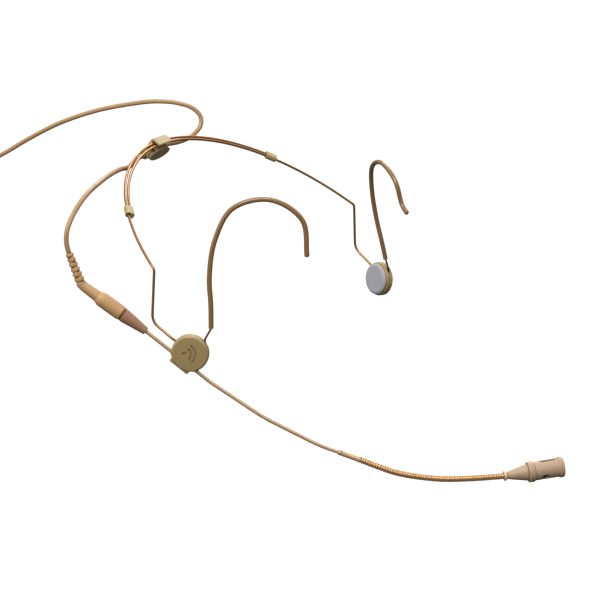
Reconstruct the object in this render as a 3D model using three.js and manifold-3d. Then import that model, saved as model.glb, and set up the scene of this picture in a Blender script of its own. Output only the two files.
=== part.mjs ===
// Headset microphone: a neckband of two overlapping wires, a clamping disc and an ear hook on each side,
// and a boom on the wearer's right that ends in a gooseneck and a slotted microphone head.
// Millimetres. +X is the wearer's left, -Y is forward, +Z is up, and the origin lies midway between the
// two temple pads.
import * as THREE from 'three';
import { mergeVertices } from 'three/addons/utils/BufferGeometryUtils.js';
import Module from 'manifold-3d';

const wasm = await Module();
wasm.setup();

const degrees = THREE.MathUtils.degToRad;
const V = (x, y, z) => new THREE.Vector3(x, y, z);

// ---- Driving dimensions ----

// Neckband: one circular arc in a plane that drops forward, shared by both wires.
const BAND = { radius: 79, pitch: degrees(38), backY: 53.5, backZ: 61.5, endAngle: degrees(70.5) };
const WIRE_RADIUS = 0.42;
const WIRE_SPACING = 1.4;
const SLIDER = { right: degrees(-48.5), left: degrees(41.5), length: 4.4, width: 2.4, height: 3.3, corner: 0.9 };
const CLIP = { angle: degrees(-3.2), length: 9.6, plateLength: 14, plateHeight: 6, plateDrop: 4 };
const CORD_EYE = { outward: 0.9, drop: 5.6, tilt: degrees(8), length: 10.4, radius: 1.75 };
// Where the right wire turns down from the arc and then in towards its disc, with the bend radii.
const TEMPLE = { knee: V(-75, 12, 28.6), elbow: V(-76.4, 12.2, 10.3), radii: [2, 5, 1.5, 1] };

// Discs: their own frame is x outward from the pad, y forward, z up.
const HALF_WIDTH = 70;
const TOE_IN = degrees(23);
const DISC_LEAN = degrees(4);
const DISC = { radius: 6.75, pad: [0, 1], base: [1.2, 2.6], cap: [2.8, 4.6], split: 2.7 };
const HOOK_PIN = { forward: 5.2, bottom: -2, bushRadius: 0.95, bushHalf: 2.1 };

// Ear hooks: the curve is (forward, up) from the pin; the foot is (forward, inward) from it. The left hook is
// bent further over the ear than the right one.
const HOOK_WIRE = 0.4;
const HOOK_SLEEVE = 0.98;
const HOOK_TURN = { right: degrees(6), left: degrees(19) };
const HOOK_LEAN = { right: degrees(2.5), left: degrees(18.5) };
const HOOK_PITCH = { right: 0, left: degrees(3) };
const HOOK_FOOT = { right: [2.3, 0], left: [0.6, 2.1] };
const HOOK_HEIGHT = { right: 1, left: 0.93 };
const HOOK_CURVE = [[2.3, 9], [2.3, 17.5], [1.9, 27.5], [3.9, 40.5], [10.2, 51.9], [23.3, 54.9], [34.3, 47.7]];
const HOOK_TIP = { right: [[36, 34.5]], left: [[35.8, 38.5], [37, 36.6], [40, 34.4]] };

// Boom: straight through the clamp, then bent forward and inward to the microphone.
const BOOM = { radius: 0.7, bore: 0.44, leadRadius: 0.2, pitch: degrees(38.9), offset: 4, rear: -20, front: 10 };
const BOOM_CORNERS = { points: [V(-61.5, -24.5, -23.3), V(-51.8, -42.6, -33.9)], radii: [25, 60, 60] };
const FERRULE = { start: V(-48.9, -47.7, -35.8), end: V(-44.6, -54.5, -38.9), radius: 1.1, bore: 0.95 };
const GOOSENECK_ROUTE = [
  FERRULE.end, V(-41.2, -59.8, -41.5), V(-36.9, -66.1, -44.2), V(-28.6, -77.8, -46.6), V(-21.8, -86.8, -46.9),
  V(-14.5, -96.1, -46.6),
];
const GOOSENECK = { radius: 1.05, segments: 5 };
const MIC_NOSE = V(-0.4, -113, -44.2);
const BOOM_CLAMP = { radius: 1.1, bore: 1.26, half: 5.1 };
const CONNECTOR = { start: -16.8, droop: degrees(2.6), reliefTurn: degrees(34) };

// Cord: the free lead to the clip, the tail behind the neck, the tied coil and the plug that hangs from it.
const CORD_RADIUS = 0.9;
const LEAD_ROUTE = [
  V(-91.29, 36.91, 35.32), V(-91.7, 37.5, 38.6), V(-91.4, 37.5, 42.6), V(-88.3, 37.3, 47.4), V(-79, 38.2, 53),
  V(-62, 41.6, 56.4), V(-42, 48, 56.6), V(-26, 54, 55), V(-14.35, 57.98, 56.13), V(-10.39, 57.81, 56.7),
  V(-4.61, 57.57, 57.54),
];
const TAIL_ROUTE = [
  V(-4.31, 57.55, 57.59), V(1.47, 57.31, 58.43), V(5.43, 57.14, 59), V(12.5, 56.8, 58.9), V(19, 56.5, 59.4),
  V(24, 56, 60.9), V(27.3, 55.2, 63.6), V(28.2, 55.6, 67), V(26.9, 58.2, 70.3), V(24.5, 63.4, 72.3),
  V(21.8, 72, 72.8), V(20, 83.2, 71.2), V(17.5, 98.2, 67.7), V(15, 113.4, 62.2), V(13, 126.8, 55.4),
  V(11, 139.5, 48), V(8.7, 150.5, 42.6), V(7.2, 161, 40.8),
];
const COIL = { centre: V(10, 161, 24), meanRadius: 10.8, width: 7.9, depth: 9.4, tieLength: 3, tieThickness: 0.9 };
const STUB_ROUTE = [V(12.8, 177.8, 24), V(12.8, 178.3, 19), V(12.8, 178.5, 15)];
const FIT = 0.15;
const FACE_GAP = 0.3;

// ---- Materials ----

const material = (color, roughness, metalness = 0) => new THREE.MeshStandardMaterial({ color, roughness, metalness });
const MATERIALS = {
  wire: material('#b98a58', 0.3, 0.9),
  tube: material('#c99a74', 0.35, 0.8),
  beige: material('#cbb080', 0.5),
  rim: material('#d8c79a', 0.5),
  sleeve: material('#a57d4b', 0.4),
  cord: material('#c8a578', 0.7),
  connector: material('#d7b487', 0.5),
  boot: material('#c8a082', 0.6),
  pad: material('#a6a6aa', 0.6),
  dark: material('#3a3430', 0.7),
  seal: material('#8d5a2c', 0.7),
  steel: material('#c9c9cb', 0.25, 1),
  brass: material('#c7a24e', 0.3, 1),
};

const part = (name, geometry, look) => {
  const mesh = new THREE.Mesh(geometry, MATERIALS[look].clone());
  mesh.name = name;
  return mesh;
};

// ---- Shape helpers ----

// A path that puts one section of a swept piece on each of its stations.
class StationPath extends THREE.Curve {
  constructor(stations) {
    super();
    this.stations = stations;
    this.last = stations.length - 1;
  }

  getPointAt(u, target = new THREE.Vector3()) {
    return target.copy(this.stations[Math.round(u * this.last)]);
  }

  getTangentAt(u, target = new THREE.Vector3()) {
    const index = Math.round(u * this.last);
    const here = this.stations[index];
    const before = this.stations[Math.max(index - 1, 0)];
    const after = this.stations[Math.min(index + 1, this.last)];
    const arriving = here.clone().sub(before).normalize();
    const leaving = after.clone().sub(here).normalize();
    return target.copy(arriving).add(leaving).normalize();
  }
}

const polygon = (radius, sides, Kind = THREE.Shape) => {
  const corner = (step) => {
    const angle = (2 * Math.PI * step) / sides;
    return new THREE.Vector2(radius * Math.cos(angle), radius * Math.sin(angle));
  };
  return new Kind(Array.from({ length: sides }, (_, step) => corner(step)));
};

const sweep = (shape, stations) => new THREE.ExtrudeGeometry(shape, {
  steps: stations.length - 1,
  bevelEnabled: false,
  extrudePath: new StationPath(stations),
});

const rod = (radius, stations, sides = 8) => sweep(polygon(radius, sides), stations);

const pipe = (radius, bore, stations, sides = 8) => {
  const shape = polygon(radius, sides);
  shape.holes.push(polygon(bore, sides, THREE.Path));
  return sweep(shape, stations);
};

// Corner points joined by straight runs, with each inner corner rounded to its own bend radius.
const bentRoute = (corners, radii, stepAngle = degrees(18)) => {
  const stations = [corners[0]];
  for (let index = 1; index < corners.length - 1; index += 1) {
    const corner = corners[index];
    const bendRadius = radii[index - 1];
    const arriving = corner.clone().sub(corners[index - 1]).normalize();
    const leaving = corners[index + 1].clone().sub(corner).normalize();
    const turn = arriving.angleTo(leaving);
    const trim = bendRadius * Math.tan(turn / 2);
    const inward = leaving.clone().addScaledVector(arriving, -leaving.dot(arriving)).normalize();
    const start = corner.clone().addScaledVector(arriving, -trim);
    const centre = start.clone().addScaledVector(inward, bendRadius);
    const steps = Math.max(1, Math.ceil(turn / stepAngle));
    for (let step = 0; step <= steps; step += 1) {
      const angle = (turn * step) / steps;
      stations.push(centre.clone()
        .addScaledVector(inward, -bendRadius * Math.cos(angle))
        .addScaledVector(arriving, bendRadius * Math.sin(angle)));
    }
  }
  stations.push(corners[corners.length - 1]);
  return stations;
};

// Stations along a smooth curve through the points, about one step apart.
const smoothRoute = (points, step) => {
  const curve = new THREE.CatmullRomCurve3(points, false, 'centripetal');
  return curve.getSpacedPoints(Math.ceil(curve.getLength() / step));
};

// A body of revolution about +Z from [radius, height] pairs that run upward on the outside.
const turned = (profile, segments = 20) => {
  const points = profile.map(([radius, height]) => new THREE.Vector2(radius, height));
  return new THREE.LatheGeometry(points, segments).rotateX(Math.PI / 2);
};

const turnedRing = (outer, inner, from, to, segments = 20) =>
  turned([[inner, from], [outer, from], [outer, to], [inner, to], [inner, from]], segments);

const cylinder = (radius, from, to, segments = 20) =>
  turned([[0, from], [radius, from], [radius, to], [0, to]], segments);

const toManifold = (geometry) => {
  const bare = geometry.index ? geometry.toNonIndexed() : geometry.clone();
  bare.deleteAttribute('normal');
  bare.deleteAttribute('uv');
  const merged = mergeVertices(bare, 1e-5);
  const vertProperties = new Float32Array(merged.attributes.position.array);
  const triVerts = new Uint32Array(merged.index.array);
  return new wasm.Manifold(new wasm.Mesh({ numProp: 3, vertProperties, triVerts }));
};

const fromManifold = (solid) => {
  const { vertProperties, triVerts } = solid.getMesh();
  const geometry = new THREE.BufferGeometry();
  geometry.setAttribute('position', new THREE.BufferAttribute(vertProperties, 3));
  geometry.setIndex(new THREE.BufferAttribute(triVerts, 1));
  const flat = geometry.toNonIndexed();
  flat.computeVertexNormals();
  return flat;
};

const joined = (first, ...others) =>
  fromManifold(others.reduce((solid, other) => solid.add(toManifold(other)), toManifold(first)));

const cut = (body, ...tools) =>
  fromManifold(tools.reduce((solid, tool) => solid.subtract(toManifold(tool)), toManifold(body)));

const roundedRectangle = (width, height, corner) => {
  const [x, y] = [width / 2, height / 2];
  const shape = new THREE.Shape();
  shape.moveTo(-x + corner, -y);
  shape.lineTo(x - corner, -y);
  shape.absarc(x - corner, -y + corner, corner, -Math.PI / 2, 0);
  shape.lineTo(x, y - corner);
  shape.absarc(x - corner, y - corner, corner, 0, Math.PI / 2);
  shape.lineTo(-x + corner, y);
  shape.absarc(-x + corner, y - corner, corner, Math.PI / 2, Math.PI);
  shape.lineTo(-x, -y + corner);
  shape.absarc(-x + corner, -y + corner, corner, Math.PI, 1.5 * Math.PI);
  return shape;
};

// An outline in the local YZ plane, turned so that barAlongX puts it back there.
const outlineYZ = (points) => new THREE.Shape(points.map(([y, z]) => new THREE.Vector2(-z, y)));

// A prism whose section lies in the local YZ plane (shape x is -Z, shape y is +Y), centred along X.
const barAlongX = (shape, length, curveSegments = 4) =>
  new THREE.ExtrudeGeometry(shape, { depth: length, bevelEnabled: false, curveSegments })
    .translate(0, 0, -length / 2)
    .rotateY(Math.PI / 2);

// Turns a geometry modelled along +Z so that it runs along +X.
const alongX = (geometry) => geometry.rotateY(Math.PI / 2);

// A group whose +Z runs along the direction given, placed at the point given.
const axisGroup = (origin, direction) => {
  const group = new THREE.Group();
  group.position.copy(origin);
  group.quaternion.setFromUnitVectors(V(0, 0, 1), direction.clone().normalize());
  return group;
};

const headset = new THREE.Group();

// ---- Side frames: x outward, y forward, z up, with the origin at the middle of the pad's inner face ----

const sideFrame = (sign) => {
  const lean = Math.cos(DISC_LEAN);
  const outward = V(sign * Math.cos(TOE_IN) * lean, -Math.sin(TOE_IN) * lean, -Math.sin(DISC_LEAN));
  const forward = V(-sign * Math.sin(TOE_IN), -Math.cos(TOE_IN), 0);
  const up = outward.clone().cross(forward).multiplyScalar(-sign);
  const basis = new THREE.Matrix4().makeBasis(outward, forward, up).setPosition(sign * HALF_WIDTH, 0, 0);
  const group = new THREE.Group();
  group.applyMatrix4(basis);
  group.updateMatrixWorld(true);
  return group;
};

const SIDES = { right: sideFrame(-1), left: sideFrame(1) };
const SIGN = { right: -1, left: 1 };
const onSide = (side, point) => SIDES[side].localToWorld(point.clone());

// ---- Neckband ----

const bandPlane = new THREE.Group();
bandPlane.position.set(
  0,
  BAND.backY - BAND.radius * Math.cos(BAND.pitch),
  BAND.backZ - BAND.radius * Math.sin(BAND.pitch),
);
bandPlane.rotation.x = BAND.pitch;
bandPlane.updateMatrixWorld(true);

const onBand = (angle, radius) =>
  bandPlane.localToWorld(V(radius * Math.sin(angle), radius * Math.cos(angle), 0));

// The anchored end of each neckband wire, in the frame of its disc.
const ANCHOR = [V(DISC.split, -6.4, 5.1), V(DISC.split, -2.2, 2.1), V(DISC.split, -0.6, 3.6)];
const WIRE_RADII = { right: BAND.radius + WIRE_SPACING / 2, left: BAND.radius - WIRE_SPACING / 2 };

const neckbandWire = (side, otherSlider) => {
  const sign = SIGN[side];
  const radius = WIRE_RADII[side];
  const mirrored = (point) => V(-sign * point.x, point.y, point.z);
  const from = otherSlider - sign * degrees(0.6);
  const to = sign * BAND.endAngle;
  const steps = Math.ceil(Math.abs(to - from) / degrees(4));
  const arc = Array.from({ length: steps }, (_, step) => onBand(from + ((to - from) * step) / steps, radius));
  const anchor = ANCHOR.map((point) => onSide(side, point));
  const corners = [onBand(to, radius), mirrored(TEMPLE.knee), mirrored(TEMPLE.elbow), ...anchor];
  return rod(WIRE_RADIUS, [...arc, ...bentRoute(corners, TEMPLE.radii)]);
};

// A frame on the band: x along the arc towards the wearer's left, y outward from its centre.
const bandStation = (angle) => {
  const station = new THREE.Group();
  station.position.set(BAND.radius * Math.sin(angle), BAND.radius * Math.cos(angle), 0);
  station.rotation.z = -angle;
  bandPlane.add(station);
  return station;
};

// Each slider holds the end of the far wire in a blind bore and runs on the near wire.
const sliderBlock = (side) => {
  const sign = SIGN[side];
  const half = SLIDER.length / 2;
  const bore = (radius, from, to, y) => {
    const [low, high] = [sign * from, sign * to].sort((a, b) => a - b);
    return alongX(cylinder(radius, low, high, 10)).translate(0, y, 0);
  };
  const fixedAt = (sign * WIRE_SPACING) / 2;
  const block = barAlongX(roundedRectangle(SLIDER.width, SLIDER.height, SLIDER.corner), SLIDER.length);
  return cut(
    block,
    bore(WIRE_RADIUS + FIT, -half - 1, half - 0.9, fixedAt),
    bore(WIRE_RADIUS + FIT, -half - 1, half + 1, -fixedAt),
    bore(WIRE_RADIUS + 0.4, half - 0.7, half + 1, -fixedAt),
  );
};

// The clip hooks over both wires from above and carries the cord in an eye below and behind them.
const clipHook = () => {
  const saddle = barAlongX(outlineYZ([
    [-1.8, 0.72], [-1.9, 1], [-1.5, 1.4], [1.4, 1.4], [2.3, 0.8], [2.3, -6.1], [1.5, -6.1], [1.5, 0.72],
  ]), CLIP.length);
  const { outward, drop, tilt, length, radius } = CORD_EYE;
  const along = (geometry) => alongX(geometry).rotateY(-tilt).translate(0, outward, -drop);
  const barrel = along(cylinder(radius, -length / 2, length / 2, 16));
  const eye = along(cylinder(CORD_RADIUS + FACE_GAP, -length, length, 12));
  return cut(joined(saddle, barrel), eye);
};

// The oval plate in front of the wires, with the rib that closes the clip under them.
const clipPlate = () => {
  const oval = new THREE.Shape();
  oval.absellipse(0, -CLIP.plateDrop, CLIP.plateLength / 2, CLIP.plateHeight / 2, 0, 2 * Math.PI);
  const plate = new THREE.ExtrudeGeometry(oval, { depth: 0.9, bevelEnabled: false, curveSegments: 12 })
    .rotateX(Math.PI / 2)
    .translate(0, -1.45, 0);
  const rib = barAlongX(outlineYZ([[-1.6, -2.4], [1.1, -2.4], [1.1, -0.85], [-1.6, -0.85]]), CLIP.length - 3);
  return joined(plate, rib);
};

const buildNeckband = () => {
  headset.add(part('neckband_wire_right', neckbandWire('right', SLIDER.left), 'wire'));
  headset.add(part('neckband_wire_left', neckbandWire('left', SLIDER.right), 'wire'));
  ['right', 'left'].forEach((side) => {
    bandStation(SLIDER[side]).add(part(`slider_${side}`, sliderBlock(side), 'rim'));
  });
  bandStation(CLIP.angle).add(
    part('cable_clip_hook', clipHook(), 'rim'),
    part('cable_clip_plate', clipPlate(), 'beige'),
  );
  headset.add(bandPlane);
};

// ---- Discs and ear hooks, in the side frames ----

// The clamp's line in the disc, a distance ahead of the point nearest to the disc's centre.
const boomLine = (ahead) => V(
  DISC.split,
  ahead * Math.cos(BOOM.pitch) - BOOM.offset * Math.sin(BOOM.pitch),
  -ahead * Math.sin(BOOM.pitch) - BOOM.offset * Math.cos(BOOM.pitch),
);

// Turns a geometry whose length runs along Z onto the clamp's line.
const ontoBoomLine = (geometry) => {
  const middle = boomLine(0);
  return geometry.rotateX(-Math.PI / 2 - BOOM.pitch).translate(middle.x, middle.y, middle.z);
};

const wireChannel = () => {
  const elbow = SIDES.right.worldToLocal(TEMPLE.elbow.clone());
  const end = ANCHOR[2].clone().add(ANCHOR[2]).sub(ANCHOR[1]);
  const corners = [elbow, ANCHOR[0], ANCHOR[1], ANCHOR[2].clone().lerp(end, 0.2)];
  return rod(WIRE_RADIUS + 0.22, bentRoute(corners, TEMPLE.radii.slice(2)));
};

const hookBore = () => {
  const seat = cylinder(HOOK_PIN.bushRadius + FIT, -HOOK_PIN.bushHalf - FIT, HOOK_PIN.bushHalf + FIT, 12);
  const shaft = cylinder(HOOK_WIRE + 0.25, 0, DISC.radius, 10);
  return [seat, shaft].map((tool) => tool.translate(DISC.split, HOOK_PIN.forward, 0));
};

// The raised housing along the boom that closes round its clamp.
const clampHousing = (from, to) => {
  const [length, near, far] = [8, 2.6, 6.85];
  return new THREE.BoxGeometry(to - from, length, far - near)
    .translate(0, 0, -(near + far) / 2)
    .rotateX(-BOOM.pitch)
    .translate((from + to) / 2, 0, 0);
};

// A plain mark: a dot with two arcs that open forward, engraved in the cap.
const capMark = () => {
  const depth = 0.35;
  const behind = 1.9;
  const arcs = [2.4, 4].map((middle) => {
    const [inner, outer, half] = [middle - 0.3, middle + 0.3, degrees(52)];
    const shape = new THREE.Shape();
    shape.absarc(0, 0, outer, -half, half, false);
    shape.absarc(0, 0, inner, half, -half, true);
    shape.closePath();
    return new THREE.ExtrudeGeometry(shape, { depth: 1, bevelEnabled: false, curveSegments: 10 });
  });
  const dot = cylinder(0.8, 0, 1, 12);
  return [...arcs, dot].map((tool) =>
    tool.rotateZ(Math.PI / 2).rotateY(Math.PI / 2).translate(DISC.cap[1] - depth, -behind, 0));
};

const discBase = (side) => {
  const [from, to] = DISC.base;
  const { radius } = DISC;
  const shell = alongX(turned([
    [0, from], [radius - 0.8, from], [radius - 0.3, from + 0.25], [radius, from + 0.7], [radius, to], [0, to],
  ], 32));
  const clamp = side === 'right';
  const body = clamp ? joined(shell, clampHousing(from + 0.1, to)) : shell;
  const tools = [wireChannel(), ...hookBore()];
  return cut(body, ...tools, ...(clamp ? [ontoBoomLine(cylinder(BOOM_CLAMP.bore, -12, 12, 12))] : []));
};

const discCap = (side) => {
  const [from, to] = DISC.cap;
  const { radius } = DISC;
  const shell = alongX(turned([
    [0, from], [radius, from], [radius, to - 0.8], [radius - 0.25, to - 0.3], [radius - 0.8, to], [0, to],
  ], 32));
  const clamp = side === 'right';
  const body = clamp ? joined(shell, clampHousing(from, to - 0.4)) : shell;
  const tools = [wireChannel(), ...hookBore(), ...capMark()];
  return cut(body, ...tools, ...(clamp ? [ontoBoomLine(cylinder(BOOM_CLAMP.bore, -12, 12, 12))] : []));
};

const templePad = () => {
  const [from, to] = DISC.pad;
  return alongX(turned([[0, from], [5.5, from], [6, from + 0.25], [6.2, from + 0.6], [6.2, to], [0, to]], 28));
};

// A point of the ear hook's curve, pitched back, turned inward about the pin and leaning inward above its foot.
const hookPoint = (side, forward, up) => {
  const foot = HOOK_CURVE[0];
  const [along, above] = [forward - foot[0], (up - foot[1]) * HOOK_HEIGHT[side]];
  const pitch = HOOK_PITCH[side];
  const ahead = HOOK_FOOT[side][0] + along * Math.cos(pitch) - above * Math.sin(pitch);
  const rise = above * Math.cos(pitch) + along * Math.sin(pitch);
  const inward = HOOK_FOOT[side][1] + ahead * Math.sin(HOOK_TURN[side]) + rise * Math.sin(HOOK_LEAN[side]);
  return V(
    DISC.split - inward,
    HOOK_PIN.forward + ahead * Math.cos(HOOK_TURN[side]),
    foot[1] + rise * Math.cos(HOOK_LEAN[side]),
  );
};

const hookRoute = (side) => smoothRoute(
  [...HOOK_CURVE, ...HOOK_TIP[side]].map(([forward, up]) => hookPoint(side, forward, up)),
  4,
);

const hookWire = (side) => {
  const curve = hookRoute(side);
  const hidden = curve.slice(0, -1);
  const foot = V(DISC.split, HOOK_PIN.forward, HOOK_PIN.bottom);
  const rise = V(DISC.split, HOOK_PIN.forward, 5);
  return rod(HOOK_WIRE, [...bentRoute([foot, rise, curve[0]], [2]), ...hidden.slice(1)]);
};

const buildSide = (side) => {
  const bush = turnedRing(HOOK_PIN.bushRadius, HOOK_WIRE + FIT, -HOOK_PIN.bushHalf, HOOK_PIN.bushHalf, 12)
    .translate(DISC.split, HOOK_PIN.forward, 0);
  SIDES[side].add(
    part(`temple_pad_${side}`, templePad(), 'pad'),
    part(`disc_base_${side}`, discBase(side), 'beige'),
    part(`disc_cap_${side}`, discCap(side), 'beige'),
    part(`hook_bush_${side}`, bush, 'brass'),
    part(`ear_hook_wire_${side}`, hookWire(side), 'wire'),
    part(`ear_hook_sleeve_${side}`, pipe(HOOK_SLEEVE, HOOK_WIRE + 0.22, hookRoute(side)), 'sleeve'),
  );
  headset.add(SIDES[side]);
};

// ---- Boom, gooseneck and microphone ----

const boomPoint = (ahead) => onSide('right', boomLine(ahead));

const boomStations = () => {
  const inFerrule = FERRULE.start.clone().lerp(FERRULE.end, 0.6);
  const corners = [boomPoint(BOOM.rear), boomPoint(BOOM.front + 2.2), ...BOOM_CORNERS.points, FERRULE.start];
  return [...bentRoute(corners, BOOM_CORNERS.radii, degrees(3)), inFerrule];
};

const ferrule = () => {
  const { radius, bore } = FERRULE;
  const length = FERRULE.start.distanceTo(FERRULE.end);
  return turned([
    [0, length * 0.7], [bore, length * 0.7], [bore, 0], [radius - 0.1, 0], [radius, 0.3], [radius, 2],
    [radius - 0.15, 2.2], [radius - 0.15, 2.6], [radius, 2.8], [radius, length - 0.5], [radius - 0.2, length - FIT],
    [0, length - FIT],
  ], 14);
};

const gooseneckSegment = (index) => {
  const curve = new THREE.CatmullRomCurve3(GOOSENECK_ROUTE, false, 'centripetal');
  const span = 1 / GOOSENECK.segments;
  const gap = FACE_GAP / 2 / curve.getLength();
  const [from, to] = [index * span + gap, (index + 1) * span - gap];
  const steps = 3;
  const stationAt = (_, step) => curve.getPointAt(from + ((to - from) * step) / steps);
  return rod(GOOSENECK.radius, Array.from({ length: steps + 1 }, stationAt), 10);
};

// The head's ports: a long slot on top and a short one opposite, seen from the middle of the wall.
const micBasket = (upAngle) => {
  const shell = turned([
    [2.95, 11.5], [3.45, 11.5], [3.45, 20.8], [3.65, 21.1], [3.65, 22.1], [3.5, 22.3], [2.6, 22.3], [2.6, 21.8],
    [2.95, 21.8], [2.95, 11.5],
  ], 28);
  const port = (length, width, angle) =>
    barAlongX(roundedRectangle(length, width, width * 0.48), 3, 3).translate(3.4, 0, 16.8).rotateZ(angle);
  return cut(shell, port(6, 1.7, upAngle), port(3, 2.1, upAngle + Math.PI));
};

const buildMicrophone = () => {
  const group = axisGroup(GOOSENECK_ROUTE[5], MIC_NOSE.clone().sub(GOOSENECK_ROUTE[5]));
  const up = V(0, 0, 1).applyQuaternion(group.quaternion.clone().invert());
  const boot = turned([[0, 1.8], [1.35, 1.8], [1.6, 2.7], [2.75, 8], [2.9, 8.9], [0, 8.9]]);
  const seat = turned([[0, 9.1], [2.95, 9.1], [3.15, 9.4], [3.15, 11.3], [2.4, 11.3], [2.4, 12.5], [0, 12.5]], 28);
  const capsule = turned([[0, 12.8], [2.3, 12.8], [2.3, 20.2], [1.6, 20.2], [1.6, 19.9], [0, 19.9]]);
  group.add(
    part('mic_collar', turned([[0, 0.3], [1.3, 0.3], [1.5, 0.5], [1.5, 1.4], [1.3, 1.6], [0, 1.6]], 16), 'rim'),
    part('mic_boot', boot, 'beige'),
    part('mic_capsule_seat', seat, 'beige'),
    part('mic_basket', micBasket(Math.atan2(up.y, up.x)), 'connector'),
    part('mic_capsule', capsule, 'steel'),
    part('mic_capsule_seal', turnedRing(2.8, 2.45, 14.2, 15.4), 'dark'),
    part('mic_front_mesh', cylinder(2.8, 20.9, 21.5), 'dark'),
  );
  headset.add(group);
};

// ---- Connector behind the boom, with the cord's strain relief ----

const PIN_CIRCLE = 1;
const PIN_ANGLES = [0, 1, 2].map((index) => (2 * Math.PI * index) / 3);
const atPin = (geometry, angle) =>
  geometry.translate(PIN_CIRCLE * Math.cos(angle), PIN_CIRCLE * Math.sin(angle), 0);

const insulator = (from, to) => {
  const holes = PIN_ANGLES.map((angle) => atPin(cylinder(0.48, from - 1, to + 1, 8), angle));
  return cut(cylinder(1.85, from, to, 18), ...holes);
};

const connectorPitch = BOOM.pitch - CONNECTOR.droop;
const rearward = (pitch) => {
  const from = onSide('right', V(0, 0, 0));
  return onSide('right', V(0, -Math.cos(pitch), Math.sin(pitch))).sub(from);
};
const connectorFrame = axisGroup(boomPoint(CONNECTOR.start), rearward(connectorPitch));

// The relief: a smooth neck, a bend, and four ribs that taper towards the cord.
const RELIEF = { neck: 28, length: 12, ribs: 4, root: 1.75, tip: 1.35 };
const reliefDirection = rearward(connectorPitch + CONNECTOR.reliefTurn)
  .applyQuaternion(connectorFrame.quaternion.clone().invert());

const strainRelief = () => {
  const { neck, length, ribs, root, tip } = RELIEF;
  const stem = turned([[0, 17], [1.3, 17], [1.3, 21.3], [2.1, 21.3], [1.95, 24], [root, neck], [0, neck]]);
  const knuckle = new THREE.SphereGeometry(root, 16, 10).translate(0, 0, neck);
  const profile = [[0, 0], [root, 0]];
  const pitch = length / ribs;
  for (let rib = 0; rib < ribs; rib += 1) {
    const radius = root + ((tip - root) * (rib + 1)) / ribs;
    const start = rib * pitch;
    profile.push([radius - 0.4, start + 0.2], [radius - 0.4, start + pitch * 0.45]);
    profile.push([radius, start + pitch * 0.55], [radius, start + pitch]);
  }
  profile.push([0, length]);
  const turn = new THREE.Quaternion().setFromUnitVectors(V(0, 0, 1), reliefDirection);
  const ribbed = turned(profile, 16).applyQuaternion(turn).translate(0, 0, neck);
  return joined(stem, knuckle, ribbed);
};

const buildConnector = () => {
  const boot = turned([
    [0, 3.6], [1, 3.6], [1, 0], [1.35, 0], [2.4, 8.6], [2.55, 9.9], [2.05, 9.9], [2.05, 6.9], [0, 6.9],
  ]);
  const shell = turned([
    [2.1, 11.1], [2.5, 11.1], [2.7, 11.4], [2.7, 19.8], [2.35, 21], [1.5, 21], [1.5, 16.6], [2.1, 16.6], [2.1, 11.1],
  ]);
  connectorFrame.add(
    part('plug_boot', boot, 'boot'),
    part('plug_seam_ring', turnedRing(2.6, 2.1, 10.1, 10.9), 'seal'),
    part('plug_insulator', insulator(7.1, 9.9), 'dark'),
    part('cable_connector_shell', shell, 'connector'),
    part('socket_insulator', insulator(11.2, 15.5), 'dark'),
    part('cable_strain_relief', strainRelief(), 'connector'),
  );
  PIN_ANGLES.forEach((angle, index) => {
    connectorFrame.add(part(`plug_pin_${index + 1}`, atPin(cylinder(0.3, 7.4, 14.2, 8), angle), 'brass'));
  });
  headset.add(connectorFrame);
};

const buildBoom = () => {
  const ferruleFrame = axisGroup(FERRULE.start, FERRULE.end.clone().sub(FERRULE.start));
  ferruleFrame.add(part('boom_ferrule', ferrule(), 'tube'));
  const lead = boomStations().filter((_, index) => index > 0);
  const clamp = ontoBoomLine(turnedRing(BOOM_CLAMP.radius, BOOM.radius + FIT, -BOOM_CLAMP.half, BOOM_CLAMP.half, 12));
  SIDES.right.add(part('boom_clamp_sleeve', clamp, 'dark'));
  headset.add(
    ferruleFrame,
    part('boom_tube', pipe(BOOM.radius, BOOM.bore, boomStations(), 10), 'tube'),
    part('boom_signal_lead', rod(BOOM.leadRadius, [boomPoint(BOOM.rear + 0.5), ...lead], 6), 'dark'),
  );
  for (let index = 0; index < GOOSENECK.segments; index += 1) {
    headset.add(part(`gooseneck_segment_${index + 1}`, gooseneckSegment(index), 'tube'));
  }
};

// ---- Cord, coil and jack plug ----

const coilRing = () => {
  const { meanRadius, width, depth, centre } = COIL;
  const corners = 10;
  const section = Array.from({ length: corners + 1 }, (_, step) => {
    const angle = (2 * Math.PI * (step % corners)) / corners;
    return [meanRadius + (depth / 2) * Math.cos(angle), (width / 2) * Math.sin(angle)];
  });
  return alongX(turned(section, 36)).translate(centre.x, centre.y, centre.z);
};

// A strap round the turns, low on the coil's front.
const coilTie = () => {
  const { meanRadius, width, depth, centre, tieLength, tieThickness } = COIL;
  const clear = 2 * FACE_GAP;
  const outer = roundedRectangle(depth + clear + 2 * tieThickness, width + clear + 2 * tieThickness, 2.4);
  outer.holes.push(new THREE.Path(roundedRectangle(depth + clear, width + clear, 1.6).getPoints(3)));
  return new THREE.ExtrudeGeometry(outer, { depth: tieLength, bevelEnabled: false, curveSegments: 3 })
    .translate(0, 0, -tieLength / 2)
    .rotateZ(Math.PI / 2)
    .translate(0, -meanRadius, 0)
    .rotateX(degrees(35))
    .translate(centre.x, centre.y, centre.z);
};

const buildCord = () => {
  headset.add(
    part('cord_lead', rod(CORD_RADIUS, smoothRoute(LEAD_ROUTE, 4)), 'cord'),
    part('cord_tail', rod(CORD_RADIUS, smoothRoute(TAIL_ROUTE, 4.5)), 'cord'),
    part('cord_coil', coilRing(), 'cord'),
    part('coil_tie', coilTie(), 'dark'),
    part('cord_stub', rod(CORD_RADIUS, smoothRoute(STUB_ROUTE, 3)), 'cord'),
  );
};

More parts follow.
